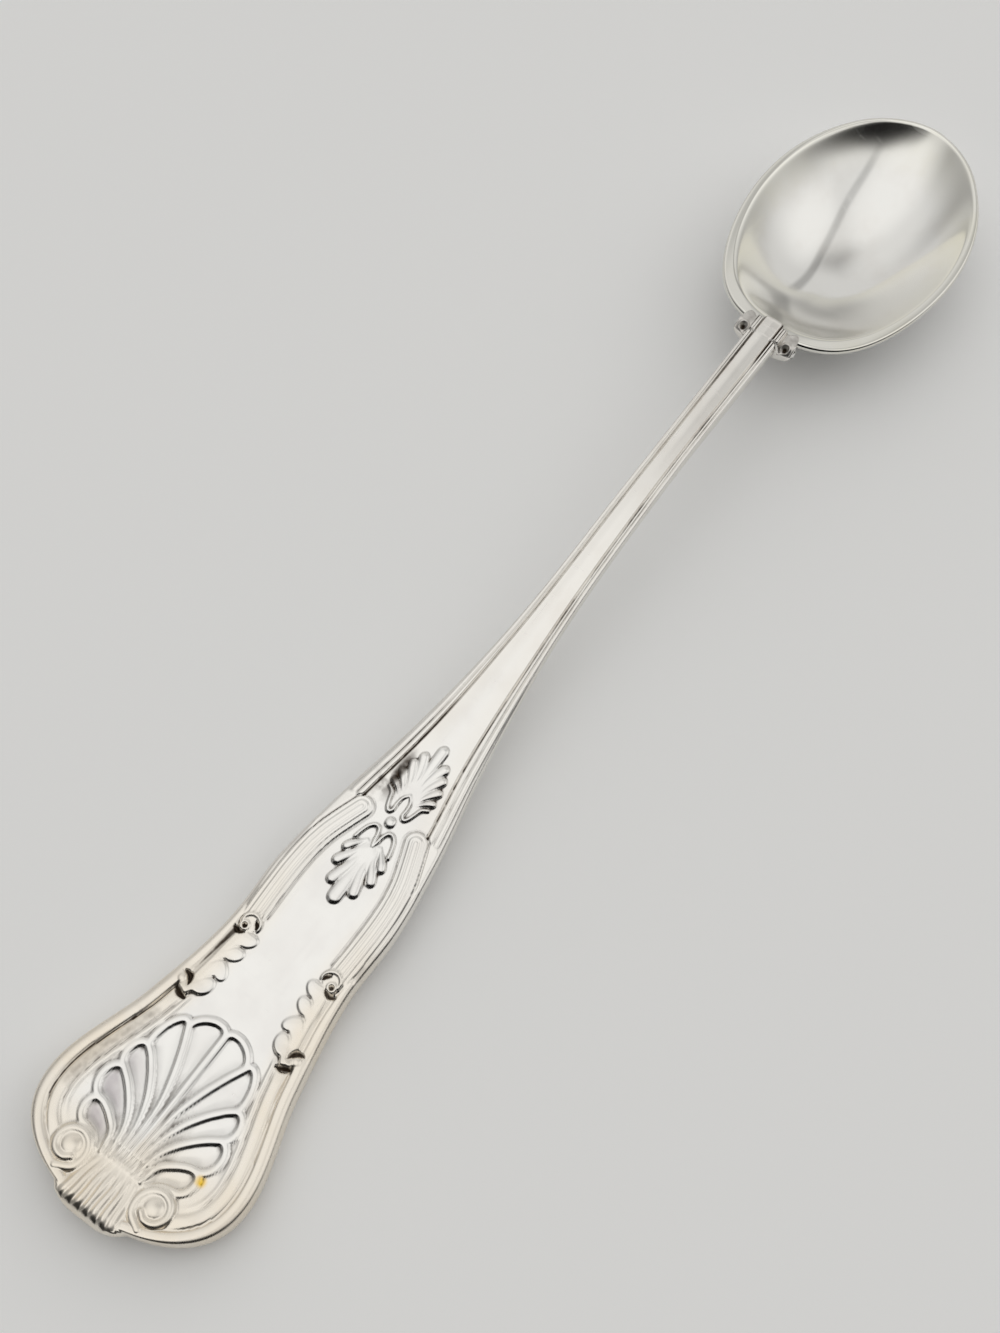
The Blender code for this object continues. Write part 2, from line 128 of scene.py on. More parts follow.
def bowl_normal(x, y):
    """Unit normal of the inner face, up and inwards, from its slopes over a small step."""
    step = 0.05
    lean_x = (bowl_inside(x + step, y) - bowl_inside(x - step, y)) / (2 * step)
    lean_y = (bowl_inside(x, y + step) - bowl_inside(x, y - step)) / (2 * step)
    normal = np.stack((-lean_x, -lean_y, np.ones_like(lean_x)), axis=-1)
    return normal / np.linalg.norm(normal, axis=-1, keepdims=True)


def on_bowl(s, turn):
    """Plan point for a place s and a turn: the superellipse written with powers of cosine and sine. The reach
    depends on the point itself, so it is settled in a few rounds."""
    c = np.cos(turn)
    power = by_turn(c, HEEL_POWER, SIDE_POWER, TIP_POWER)
    u = s * np.sign(c) * np.abs(c) ** (2 / power)
    y = s * BOWL_HALF_WIDTH * np.sign(np.sin(turn)) * np.abs(np.sin(turn)) ** (2 / power)
    along = u * BOWL_REACH
    for _ in range(REACH_ROUNDS):
        along = u * bowl_reach(along)
    return BOWL_CENTRE + along, y


def bowl_dents(x, y):
    """Shallow waves left in the inner face by the press and by use: two crossed sines."""
    return DENT_HEIGHT * np.sin(0.33 * x + 0.21 * y + 0.6) * np.sin(0.30 * y - 0.17 * x + 1.9)


def bowl_rings():
    """Rings from the middle of the inner face out to the rim, over a half-round edge, and back to the middle
    of the outer face, which lies one wall thickness off the inner face along its normal. With them goes the
    share of the lip at each point, 1 on the rim."""
    turn = np.linspace(0, 2 * math.pi, BOWL_TURNS, endpoint=False)
    rim_place = 1 - RIM_ROUND / BOWL_HALF_WIDTH
    inner_s = rim_place * np.linspace(FIRST_RING, 1, INNER_RINGS) ** 0.9
    s, t = np.meshgrid(inner_s, turn, indexing="ij")
    x, y = on_bowl(s, t)
    inner = np.stack((x, y, bowl_inside(x, y)), axis=-1)
    edge, edge_normal = inner[-1], bowl_normal(x[-1], y[-1])
    ahead = np.roll(edge, -1, axis=0) - np.roll(edge, 1, axis=0)
    outward = np.cross(ahead, edge_normal)
    outward /= np.linalg.norm(outward, axis=-1, keepdims=True)
    arc = np.linspace(0, math.pi, RIM_RINGS + 2)[1:-1, None, None]
    middle = edge - edge_normal * BOWL_WALL / 2
    rim = middle + edge_normal * BOWL_WALL / 2 * np.cos(arc) + outward * RIM_ROUND * np.sin(arc)
    outer_s = rim_place * np.linspace(1, FIRST_RING, OUTER_RINGS)
    s, t = np.meshgrid(outer_s, turn, indexing="ij")
    x, y = on_bowl(s, t)
    outer = np.stack((x, y, bowl_inside(x, y)), axis=-1) - BOWL_WALL * bowl_normal(x, y)
    inner[..., 2] += bowl_dents(inner[..., 0], inner[..., 1]) * (1 - (inner_s / rim_place)[:, None] ** 6)
    lip = np.zeros((len(inner) + len(rim) + len(outer), BOWL_TURNS))
    lip[:len(inner)] = np.clip((inner_s / rim_place - LIP_TONE_FROM) / LIP_TONE_SPAN, 0, 1)[:, None]
    lip[len(inner):len(inner) + len(rim)] = 1.0
    return np.concatenate((inner, rim, outer)), lip


def make_piece(name, rings, material, **grids):
    """Closed piece from a grid of rings: quads between neighbours, the last point of a ring joined to its
    first, and a fan to the middle of the first and of the last ring. Each further grid of values, one to a
    point of the rings, becomes an attribute under its own name."""
    rows, around = rings.shape[:2]
    points = np.concatenate((rings.reshape(-1, 3), rings[0].mean(0)[None], rings[-1].mean(0)[None]))
    points = (points + np.array((SCROLL_END, 0, 0))) * MM
    at = np.arange(rows * around).reshape(rows, around)
    ahead = np.roll(at, -1, axis=1)
    quads = np.stack((at[:-1], at[1:], ahead[1:], ahead[:-1]), axis=-1).reshape(-1, 4)
    first = np.stack((np.full(around, rows * around), at[0], ahead[0]), axis=-1)
    last = np.stack((np.full(around, rows * around + 1), ahead[-1], at[-1]), axis=-1)
    mesh = bpy.data.meshes.new(name)
    mesh.from_pydata(points, [], quads.tolist() + first.tolist() + last.tolist())
    mesh.shade_smooth()
    mesh.materials.append(material)
    for label, grid in grids.items():
        values = np.concatenate((grid.ravel(), (grid[0].mean(), grid[-1].mean())))
        mesh.attributes.new(label, "FLOAT", "POINT").data.foreach_set("value", values)
    piece = bpy.data.objects.new(name, mesh)
    bpy.context.scene.collection.objects.link(piece)
    return piece


class Tone:
    """One socket in a tree of nodes. Arithmetic on it adds Math nodes, and node() adds any other node."""

    def __init__(self, tree, socket=None):
        self.tree = tree
        self.socket = socket

    def node(self, kind, settings, values, output=0):
        """New node of a kind: its settings are set first, then its sockets take values or links."""
        made = self.tree.nodes.new(kind)
        for name, setting in settings.items():
            setattr(made, name, setting)
        for name, value in values.items():
            if isinstance(value, Tone):
                self.tree.links.new(value.socket, made.inputs[name])
            else:
                made.inputs[name].default_value = value
        return Tone(self.tree, made.outputs[output])

    def maths(self, operation, first, second=0.0):
        """Math node with one operation."""
        return self.node("ShaderNodeMath", {"operation": operation}, {0: first, 1: second})

    def __add__(self, other):
        return self.maths("ADD", self, other)

    __radd__ = __add__

    def __mul__(self, other):
        return self.maths("MULTIPLY", self, other)

    __rmul__ = __mul__

    def __sub__(self, other):
        return self.maths("SUBTRACT", self, other)

    def __rsub__(self, other):
        return self.maths("SUBTRACT", other, self)

    def between(self, low, high):
        """Smooth step of this value from 0 at low to 1 at high."""
        settings = {"interpolation_type": "SMOOTHSTEP"}
        return self.node("ShaderNodeMapRange", settings, {"Value": self, "From Min": low, "From Max": high})

    def blend(self, first, second):
        """Colour between two colours, with this value as the share of the second. Of the Mix node's
        sockets, 6 and 7 are its colours and 2 is the mixed one."""
        return self.node("ShaderNodeMix", {"data_type": "RGBA"}, {0: self, 6: first, 7: second}, 2)

    def noise(self, place, scale, detail=2.0, rough=0.5):
        """Cloudy noise with features of about 1 / scale metres."""
        values = {"Vector": place, "Scale": scale, "Detail": detail, "Roughness": rough}
        return self.node("ShaderNodeTexNoise", {}, values)


def new_finish(name):
    """New metal material, with its shader node and a Tone that adds nodes to its tree."""
    material = bpy.data.materials.new(name)
    material.use_nodes = True
    shader = material.node_tree.nodes["Principled BSDF"]
    shader.inputs["Metallic"].default_value = 1.0
    return material, shader, Tone(material.node_tree)


def connect(shader, **tones):
    """Links tones to the shader's sockets, with _ for a space in a socket's name."""
    for name, tone in tones.items():
        tone.tree.links.new(tone.socket, shader.inputs[name.replace("_", " ")])


def hairlines(t, place, runs, low, high):
    """Hairline scratches: noise drawn out along the turn of each of two runs, with only its peaks kept."""
    def drawn_out(turn, stretch):
        drawn = t.node("ShaderNodeMapping", {}, {"Vector": place, "Rotation": (0, 0, turn), "Scale": stretch})
        return t.noise(drawn, 1.0, 3.0, 0.6).between(low, high)

    first, second = runs
    return drawn_out(*first) + drawn_out(*second)


def polished_silver():
    """Mirror of silver plate, creamier along the lip as a painted reflection, with cloudy roughness and
    hairline scratches."""
    material, shader, t = new_finish("polished silver plate")
    place = t.node("ShaderNodeTexCoord", {}, {}, "Object")
    lip = t.node("ShaderNodeAttribute", {"attribute_name": "lip"}, {}, "Fac")
    tint_share = t.noise(place, 90.0, 4.0, 0.6).between(0.45, 0.75)
    colour = tint_share.blend(PLATE_BRIGHT, PLATE_CLOUDED)
    # Cream painted reflection along the lip, patchy with the cloudy tone.
    colour = (lip * (0.55 + 0.6 * tint_share)).blend(colour, LIP_CREAM_REFLECTION)
    hairs = hairlines(t, place, BOWL_SCRATCHES, 0.60, 0.72)
    cloud = t.noise(place, 220.0, 3.0)
    bump = t.node("ShaderNodeBump", {}, {"Strength": 0.05, "Distance": 0.00002, "Height": hairs})
    connect(shader, Base_Color=colour, Roughness=0.07 + 0.06 * cloud + 0.05 * hairs, Normal=bump)
    return material


bowl_grid, bowl_lip = bowl_rings()
bowl = make_piece("bowl_polished", bowl_grid, polished_silver(), lip=bowl_lip)
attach(bowl, "root")
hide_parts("bowl")

# Handle: one bar of nickel silver struck between dies that raise the ornament out of its face, then plated
# and buffed. Old polish and tarnish stay dark in the hollows, with shade painted into them too, and more
# painted shade lies in the cuts and grooves and on the lugs. The flat of the stem ends over the lip of the
# bowl between two small scrolled lugs, and a tongue runs on under the bowl, where it is soldered.
LAP_START = 181.6
LAP_GAP = 0.3
TONGUE_END = 196.0
TONGUE_HALF = 4.5
TONGUE_TIP_HALF = 0.9
TONGUE_SHOULDER = 2.2
TONGUE_THICKNESS = 2.0
TONGUE_TIP_THICKNESS = 1.0
TONGUE_ROWS = 14
NOSE_ROUND = 2.4
KNOT_OVERHANG = 0.6
TERMINAL_AT = 14.0
TERMINAL_HALF = 17.1
SCROLL_START = 0.9
TERMINAL_FULLNESS = 2.4
KNOT_HALF = 5.5
KNOT_SOFTNESS = 0.6
BODY_PLAN = ((11.8, 17.1), (14.0, 17.1), (30.0, 12.9), (46.0, 10.15), (57.5, 10.3), (70.0, 8.85), (85.0, 6.3),
             (108.0, 3.8), (142.0, 2.85), (182.5, 2.85))
FACE_LINE = ((0.0, 6.8), (10.0, 5.6), (25.0, 5.0), (57.5, 6.5), (99.5, 10.9), (142.0, 16.2), (182.5, 17.2))
THICKNESS_LINE = ((0.0, 4.2), (14.0, 5.6), (32.5, 5.6), (57.5, 4.6), (142.0, 5.2), (172.0, 5.2), (182.5, 4.2))
BULGE_LINE = ((0.0, 1.1), (70.0, 1.1), (108.0, 0.3), (182.5, 0.3))
LUG_HALF = 5.6
LUG_START = 179.0
LUG_RAMP = 0.8
LUG_DROP = 3.0
LUG_CLIMB = 1.3
STEM_HALF = 2.85
BACK_INSET = 0.9
FACE_COLUMNS = 132
SIDE_COLUMNS = 9
BACK_COLUMNS = 8


def smooth_line(knots, x):
    """Cubic curve through (station, value) knots, with slopes from the knots on either side."""
    stations, values = np.array(knots, dtype=float).T
    slopes = np.gradient(values, stations)
    i = np.clip(np.searchsorted(stations, x) - 1, 0, len(stations) - 2)
    span = stations[i + 1] - stations[i]
    t = np.clip((x - stations[i]) / span, 0, 1)
    rise = values[i] * (1 + 2 * t) * (1 - t) ** 2 + values[i + 1] * t * t * (3 - 2 * t)
    return rise + span * (slopes[i] * t * (1 - t) ** 2 - slopes[i + 1] * t * t * (1 - t))


def ease(t):
    """Smooth step from 0 to 1."""
    t = np.clip(t, 0, 1)
    return t * t * (3 - 2 * t)


def nose_round(x):
    """Share of full size over the scroll end, which is rounded on a quarter circle."""
    return np.sqrt(1 - np.clip(1 - (x + KNOT_OVERHANG) / NOSE_ROUND, 0, 1) ** 2)


def held(x, start, rise, end, fall):
    """Share that rises smoothly to 1 after the start, holds, and falls back to 0 after the end."""
    return ease((x - start) / rise) * (1 - ease((x - end) / fall))


def half_width(x):
    """Half the width of the face: the tie across the end, the round terminal as part of a superellipse, the
    waist, band and stem on a smooth line, the lugs, then the tongue."""
    u = np.clip((TERMINAL_AT - x) / (TERMINAL_AT - SCROLL_START), 0, 1)
    terminal = TERMINAL_HALF * np.sqrt(1 - u ** TERMINAL_FULLNESS)
    knot = KNOT_HALF * nose_round(x)
    end = (terminal + knot + np.hypot(terminal - knot, KNOT_SOFTNESS)) / 2
    width = np.where(x < TERMINAL_AT, np.minimum(end, TERMINAL_HALF), smooth_line(BODY_PLAN, x))
    width = width + (LUG_HALF - width) * ease((x - LUG_START) / LUG_RAMP)
    along = np.clip((x - BOWL_HEEL) / (TONGUE_END - BOWL_HEEL), 0, 1) ** 3
    tongue = np.sqrt(TONGUE_HALF ** 2 * (1 - along) + TONGUE_TIP_HALF ** 2 * along)
    return width + (tongue - width) * ease((x - BOWL_HEEL) / TONGUE_SHOULDER)


def line_through(points, steps=8):
    """Points along a smooth curve through the given ones: each span is a cubic whose end slopes are half the
    step between the neighbours on either side."""
    p = np.array(points, dtype=float)
    before, after = np.vstack((2 * p[0] - p[1], p[:-1])), np.vstack((p[1:], 2 * p[-1] - p[-2]))
    slope = (after - before) / 2
    t = np.linspace(0, 1, steps, endpoint=False)[:, None, None]
    a, b, da, db = p[:-1], p[1:], slope[:-1], slope[1:]
    span = a * (1 + 2 * t) * (1 - t) ** 2 + b * t * t * (3 - 2 * t)
    span = span + da * t * (1 - t) ** 2 - db * t * t * (1 - t)
    return np.vstack((span.transpose(1, 0, 2).reshape(-1, 2), p[-1]))


def arch(first, tip, second, steps=14):
    """Half an ellipse, leaning as needed, from the first point over the tip to the second."""
    first, tip, second = (np.array(p, dtype=float) for p in (first, tip, second))
    middle = (first + second) / 2
    t = np.linspace(0, math.pi, steps)[:, None]
    return middle + (first - middle) * np.cos(t) + (tip - middle) * np.sin(t)


def near(x, y, path):
    """Least distance from each point to a path of short straight steps, and the share of the path there."""
    path = np.array(path, dtype=float)
    lengths = np.linalg.norm(np.diff(path, axis=0), axis=1)
    run = np.concatenate(((0.0,), np.cumsum(lengths)))
    best, share = np.full(x.shape, np.inf), np.zeros(x.shape)
    for k, ((ax, ay), (bx, by)) in enumerate(zip(path[:-1], path[1:])):
        if lengths[k] == 0:
            continue
        t = np.clip(((x - ax) * (bx - ax) + (y - ay) * (by - ay)) / lengths[k] ** 2, 0, 1)
        gap = np.hypot(x - ax - t * (bx - ax), y - ay - t * (by - ay))
        share = np.where(gap < best, (run[k] + t * lengths[k]) / run[-1], share)
        best = np.minimum(best, gap)
    return best, share


def within(x, y, loop):
    """True inside a closed loop: an odd number of its steps lies to one side of the point."""
    loop = np.array(loop, dtype=float)
    odd = np.zeros(x.shape, dtype=bool)
    for (ax, ay), (bx, by) in zip(loop, np.roll(loop, -1, axis=0)):
        if ay == by:
            continue
        odd ^= ((ay > y) != (by > y)) & (x < ax + (y - ay) * (bx - ax) / (by - ay))
    return odd


def wire(gap, width, height):
    """Round-backed raised line: height times 1 less the square of its share of the half width, to the 0.8."""
    return height * np.maximum(1 - (2 * gap / width) ** 2, 0) ** 0.8


def strip(gap, width, height):
    """Raised line with a flat back and steep sides: height times 1 less the fourth power of its share."""
    return height * np.maximum(1 - (2 * gap / width) ** 4, 0)


def dome(gap, radius, height):
    """Round boss."""
    return height * np.sqrt(np.maximum(1 - (gap / radius) ** 2, 0))


SHELL_ROOT = 6.0
ROOT_HEIGHT = 0.40
ROOT_GROOVE_AT = 9.5
ROOT_GROOVE_DEPTH = 0.17
SHELL_TIPS = ((31.8, 2.75), (28.4, 7.6), (21.8, 10.2), (16.5, 11.0), (11.6, 10.0))
SHELL_RIDGES = (((8.0, 0.0), (20.0, 0.0), (30.8, 0.0)),
                ((8.0, 0.75), (17.0, 1.25), (22.0, 2.4), (26.0, 3.9), (29.0, 5.3)),
                ((8.0, 1.5), (13.0, 1.9), (17.0, 3.1), (20.0, 4.8), (22.5, 6.9), (23.6, 8.3)),
                ((8.0, 2.5), (12.0, 3.1), (15.0, 4.6), (17.5, 6.9), (19.1, 9.1)),
                ((8.0, 3.6), (11.0, 4.4), (12.6, 6.1), (13.5, 7.8), (13.7, 8.9)),
                ((8.0, 4.6), (9.2, 6.3), (9.7, 8.2)))


def shell(x, y):
    """Shell of ten lobes. Each lobe is a loop up one ridge, over an arch and down the next ridge: a flat rim
    goes along it, thinner and lower towards the root, and the cell inside is scooped to a round hollow. The
    root swells up to the tie, with a shallow groove before it. Rims and hollows are returned apart."""
    height = np.zeros(x.shape)
    hollow = np.zeros(x.shape)
    ridges = [line_through(r) for r in SHELL_RIDGES]
    out = np.hypot(x - SHELL_ROOT, y)
    for k, tip in enumerate(SHELL_TIPS):
        spread = ease((out / math.hypot(tip[0] - SHELL_ROOT, tip[1]) - 0.30) / 0.45)
        cap = arch(ridges[k][-1], tip, ridges[k + 1][-1])
        loop = np.vstack((ridges[k], cap[1:-1], ridges[k + 1][::-1]))
        gap = near(x, y, loop)[0]
        half = 0.30 + 0.34 * spread
        height = np.maximum(height, strip(gap, 2 * half, 0.24 + 0.10 * spread))
        into = np.clip((gap - 0.8 * half) / 1.8, 0, 1)
        hollow = np.where(within(x, y, loop), -(0.10 + 0.17 * spread) * into * (2 - into), hollow)
    root = ROOT_HEIGHT * held(x, 5.5, 2.5, 8.0, 9.0) * ease((5.2 - y) / 2.0)
    root = root - wire(x - ROOT_GROOVE_AT, 1.7, ROOT_GROOVE_DEPTH) * ease((4.6 - y) / 1.6)
    return height + root * (height > 0), hollow + root


VOLUTE = (6.40, 7.55)
VOLUTE_ARM = ((180, 3.45), (225, 3.05), (270, 2.65), (315, 2.45), (360, 2.38), (405, 2.34), (450, 2.30),
              (495, 2.2), (540, 2.0), (580, 1.75))


def volute(x, y):
    """Scroll that the border curls into: a wire on a spiral given by turn and radius, round a broad boss."""
    turn, radius = np.array(VOLUTE_ARM, dtype=float).T
    turn = np.radians(turn)
    arm = np.stack((VOLUTE[0] + radius * np.cos(turn), VOLUTE[1] + radius * np.sin(turn)), axis=1)
    gap, share = near(x, y, line_through(arm, 5))
    out = np.hypot(x - VOLUTE[0], y - VOLUTE[1])
    disc = 0.45 * ease((2.7 - out) / 0.8)
    return np.maximum.reduce((wire(gap, 1.7, 0.55 + 0.32 * share), dome(out, 1.75, 0.92), disc))


TIE_END = 9.2
TIE_RIBS = 7


def tie(x, y):
    """Ribbed tie between the scrolls: a roll that narrows towards the shell, with round ribs along it that
    fade out where it ends."""
    half = 5.6 - 0.22 * np.clip(x, 0, TIE_END)
    across = np.clip(y / half, 0, 1.2)
    roll = np.sqrt(ease((1.06 - across) / 0.45)) * ease((TIE_END - x) / 1.4)
    rib = (0.5 + 0.5 * np.cos(math.pi * TIE_RIBS * across + 0.5 * np.sin(0.9 * x))) ** 0.7
    deep = 0.42 * ease((9.0 - x) / 4.5) * (0.45 + 0.55 * ease((x + 0.6) / 2.6))
    return roll * (0.56 + 0.40 * ease((8.4 - x) / 5.0) - deep * (1 - rib))


EDGE_STATIONS = np.concatenate((np.linspace(1.4, 14, 70), np.linspace(14.5, 90, 76),
                                np.linspace(94, 182, 23)))


def edge_gap(x, y):
    """Distance in from the edge of the face, which passes the lugs straight on along the stem."""
    edge = np.where(EDGE_STATIONS > LUG_START - 1, STEM_HALF, half_width(EDGE_STATIONS))
    return near(x, y, np.stack((EDGE_STATIONS, edge), axis=1))[0]


def border(x, y):
    """Border of the terminal by the distance in from its edge: a broad bead, a groove, a rounded band and a
    thread. It dies away where the leaf begins. Raised forms, groove and the distance itself are returned."""
    inset = edge_gap(x, y)
    bead = strip(inset - 0.62, 1.6, 0.34) * (1 - ease((x - 33.0) / 4.0)) * ease((y - 4.6) / 0.8)
    band = strip(inset - 2.65, 2.0, 0.30) * held(x, 4.0, 4.0, 29.5, 4.0)
    thread = wire(inset - 4.25, 0.85, 0.26) * held(x, 8.0, 4.0, 31.5, 2.0)
    deep = 0.16 + 0.45 * ease((x - 27.0) / 2.0)
    cut = -deep * wire(inset - 1.52, 0.50, 1.0) * held(x, 4.0, 4.0, 34.0, 0.6)
    return np.maximum.reduce((bead, band, thread)), cut, inset


LEAF_NOTCHES = ((33.2, 8.2), (36.75, 7.0), (39.8, 7.3), (42.65, 6.5), (45.3, 6.3))
LEAF_TIPS = ((34.7, 6.0), (37.7, 5.35), (41.3, 5.2), (44.3, 4.75))
LEAF_BACK = ((45.4, 8.6), (42.5, 9.0), (39.0, 9.35), (36.0, 9.8), (34.6, 9.9), (33.2, 10.7), (32.3, 10.6),
             (31.8, 9.6), (32.3, 8.7))
LEAF_SCROLL = (46.35, 7.65)
LEAF_CURL = (45.62, 8.22)
LEAF_KNOB = (34.0, 10.75)
LEAF_OUTSIDE = ((35.8, 10.45), (40.0, 9.75), (44.4, 9.4), (46.5, 9.35))
LEAF_SLITS = ((((45.85, 6.35), (46.55, 6.55), (47.05, 7.2)), 0.75),
              (((44.85, 7.6), (44.4, 8.6), (44.8, 9.6)), 0.85),
              (((33.75, 9.35), (34.75, 9.75), (35.2, 10.3), (35.3, 11.3)), 0.95),
              (((45.3, 8.22), (45.94, 8.22)), 0.80),
              (((31.9, 8.6), (32.1, 9.6), (32.75, 10.9)), 1.10))


def leaf_shadow(x, y):
    """Share of each deep cut about the leaf, at its foot and round the scroll and the knob: slits along short
    lines, widest at the middle."""
    share = np.zeros(x.shape)
    for path, width in LEAF_SLITS:
        gap, along = near(x, y, line_through(path))
        narrowed = gap / np.sqrt(np.sin(math.pi * np.clip(along, 0.02, 0.98)))
        share = np.maximum(share, wire(narrowed, width, 1.0))
    return share


def leaf(x, y):
    """Leaf along each side of the waist: a low cushion with steep sides inside a scalloped outline, thicker
    at its foot, with a fine vein from each notch, a scroll with a curl in it at one end and a knob at the
    other. The cuts about it are returned apart."""
    arcs = [arch(LEAF_NOTCHES[k], tip, LEAF_NOTCHES[k + 1]) for k, tip in enumerate(LEAF_TIPS)]
    loop = np.vstack(arcs + [LEAF_BACK])
    inside = within(x, y, loop)
    gap = np.where(inside, near(x, y, np.vstack((loop, loop[:1])))[0], 0)
    foot = 0.45 * (1 - ease((x - 32.2) / 3.2))
    height = (0.28 + foot) * (1 - (1 - np.clip(gap / 0.40, 0, 1)) ** 2) + 0.12 * ease(gap / 1.6)
    for notch_x, notch_y in LEAF_NOTCHES[1:-1]:
        vein = ((notch_x, notch_y), (notch_x - 0.5, notch_y + 0.8), (notch_x - 1.9, notch_y + 1.7))
        off_vein, share = near(x, y, line_through(vein))
        height = height - wire(off_vein, 0.45, 0.16) * inside * (1 - share)
    out = np.hypot(x - LEAF_SCROLL[0], y - LEAF_SCROLL[1])
    curl = np.hypot(x - LEAF_CURL[0], y - LEAF_CURL[1])
    knob = np.hypot(x - LEAF_KNOB[0], y - LEAF_KNOB[1])
    rim = wire(out - 1.45, 0.85, 0.52) * ease((x - 45.3) / 0.9)
    height = np.maximum.reduce((height, rim, 0.24 * ease((1.5 - out) / 0.3), wire(curl - 0.62, 0.66, 0.50),
                                dome(knob, 0.85, 0.55)))
    outside = wire(near(x, y, line_through(LEAF_OUTSIDE))[0], 0.7, 0.20)
    return height, np.minimum(-0.6 * leaf_shadow(x, y), -outside)


BAND_LINE = ((46.8, 8.0), (52.0, 8.2), (57.0, 8.25), (61.0, 8.0), (64.5, 7.35), (68.0, 6.2), (70.7, 5.2))


def reeded_band(x, y):
    """Raised strip along each edge above the waist, bending inwards to a round end: a thread goes round its
    outline, and fine lines part the reeds inside."""
    gap = near(x, y, line_through(BAND_LINE))[0]
    start = ease((x - 46.6) / 1.6)
    reeds = strip(gap, 3.7, 0.34) - 0.19 * wire(gap - 1.22, 0.42, 1.0) - 0.12 * wire(gap - 0.45, 0.38, 1.0)
    return np.maximum(reeds, 0) * start, -0.16 * wire(gap - 2.0, 0.50, 1.0) * start * (x > 48.0)


def petal(x, y, centre, width):
    """Round-backed finger that swells and rises along its centre line to a blunt tip."""
    gap, share = near(x, y, line_through(centre))
    grown = ease(share * 1.1)
    half = width * (0.35 + 0.65 * grown)
    return dome(np.minimum(gap / half, 1.0), 1.0, 0.14 + 0.44 * grown)


LOWER_PETALS = ((((66.4, 0.0), (60.0, 0.0), (57.0, 0.0)), 1.20),
                (((66.6, 0.5), (62.5, 1.0), (60.0, 1.75), (59.0, 2.05)), 0.92),
                (((66.8, 0.9), (64.4, 1.7), (62.7, 2.7), (61.8, 3.2)), 0.84),
                (((67.0, 1.3), (66.0, 2.1), (65.0, 2.9), (64.3, 3.3)), 0.74))
UPPER_PETALS = ((((76.0, 0.0), (81.0, 0.0), (84.9, 0.0)), 0.98),
                (((75.8, 0.5), (79.0, 0.85), (81.5, 1.5), (82.6, 1.95)), 0.86),
                (((75.6, 0.9), (78.0, 1.4), (80.0, 2.3), (80.9, 2.8)), 0.80),
                (((75.6, 1.3), (77.0, 1.9), (78.4, 2.9), (79.0, 3.4)), 0.74),
                (((75.6, 1.7), (76.3, 2.5), (76.9, 3.3), (77.1, 3.7)), 0.62))
LOWER_HUSK = ((66.4, 0.0), (67.3, 0.25), (68.5, 0.45), (69.4, 0.85), (69.6, 1.6), (68.8, 2.4), (67.4, 2.9),
              (66.3, 3.15))
UPPER_HUSK = ((76.3, 0.0), (75.4, 0.7), (74.2, 0.95), (73.0, 0.9), (72.5, 1.4), (73.0, 1.95), (74.2, 2.4),
              (75.3, 2.8), (75.9, 3.7))
UNION_POWER = 8


def palmettes(x, y):
    """Two fans of petals back to back, joined softly over a low cushion, each rising from a husk drawn by one
    wire, with a bead between."""
    joined = np.zeros(x.shape)
    for centre, width in LOWER_PETALS + UPPER_PETALS:
        joined = joined + petal(x, y, centre, width) ** UNION_POWER
    height = joined ** (1 / UNION_POWER)
    for middle, length in ((63.4, 4.6), (78.4, 4.2)):
        height = np.maximum(height, 0.26 * ease((1 - np.hypot((x - middle) / length, y / 2.7)) / 0.5))
    for husk in (LOWER_HUSK, UPPER_HUSK):
        height = np.maximum(height, wire(near(x, y, line_through(husk))[0], 0.66, 0.46))
    return np.maximum(height, dome(np.hypot(x - 71.1, y), 0.92, 0.50))


THREAD_LINE = ((72.0, 2.3), (85.0, 2.1), (108.0, 1.35), (142.0, 1.15), (182.5, 1.10))
THREAD_START = 71.4
THREAD_RISE = 1.2
LUG_EYE = (180.4, 4.3)


def on_stem(x, y):
    """True on the stem and off its lugs."""
    return (x < LUG_START) | (y < STEM_HALF)


def stem_threads(x, y, inset):
    """Two round threads along each edge of the stem beside a panel with a slight crown, parted by grooves."""
    width = smooth_line(THREAD_LINE, x)
    start = ease((x - THREAD_START) / THREAD_RISE)
    share = np.clip(inset / width, 0, 1)
    thread = np.abs(np.sin(2 * math.pi * share)) ** 0.6
    edge = -(0.20 + 0.28 * (1 - share)) * ease((x - 54.0) / 20.0)
    threads = np.minimum(edge + 0.30 * thread * np.minimum(width / 1.6, 1) * start, 0)
    groove = -0.34 * wire(inset - width, 0.55, 1.0) * start
    panel = np.maximum(half_width(x) - width, 0.5)
    crown = -0.16 * (1 - ease((inset - width) / panel)) * ease((x - 84.0) / 8.0)
    return (np.where(inset < width, threads, 0) + groove + crown) * on_stem(x, y)


def lug_scrolls(x, y):
    """Tiny scroll on each lug: a ring of wire round a drilled eye."""
    gap = np.hypot(x - LUG_EYE[0], y - LUG_EYE[1])
    return wire(gap - 0.80, 0.55, 0.30) - 0.50 * (1 - ease(gap / 0.60))


def ornament(x, y):
    """Height of all the relief over the plain face at a distance y from the middle line: the highest of the
    raised forms, or the hollow where none is raised."""
    shell_up, shell_down = shell(x, y)
    border_up, border_down, inset = border(x, y)
    leaf_up, leaf_down = leaf(x, y)
    band_up, band_down = reeded_band(x, y)
    raised = np.maximum.reduce((shell_up, border_up, leaf_up, band_up, palmettes(x, y), volute(x, y),
                                tie(x, y)))
    sunk = shell_down + np.minimum.reduce((border_down, leaf_down, band_down))
    sunk = sunk + stem_threads(x, y, inset) + lug_scrolls(x, y)
    return np.where(raised > np.maximum(sunk, 0), raised + np.minimum(leaf_down, 0), sunk)


STATION_SPANS = ((HANDLE_NOSE, 1.2, 16), (1.2, 4.2, 40), (4.2, 48.0, 220), (48.0, 54.5, 16),
                 (54.5, 87.6, 165), (87.6, 178.2, 52), (178.2, LAP_START, 17))


def handle_stations():
    """Distances from the scroll end at which sections are taken: closer over the ornament."""
    spans = [np.linspace(start, end, count, endpoint=False) for start, end, count in STATION_SPANS]
    return np.concatenate(spans + [(LAP_START,)])


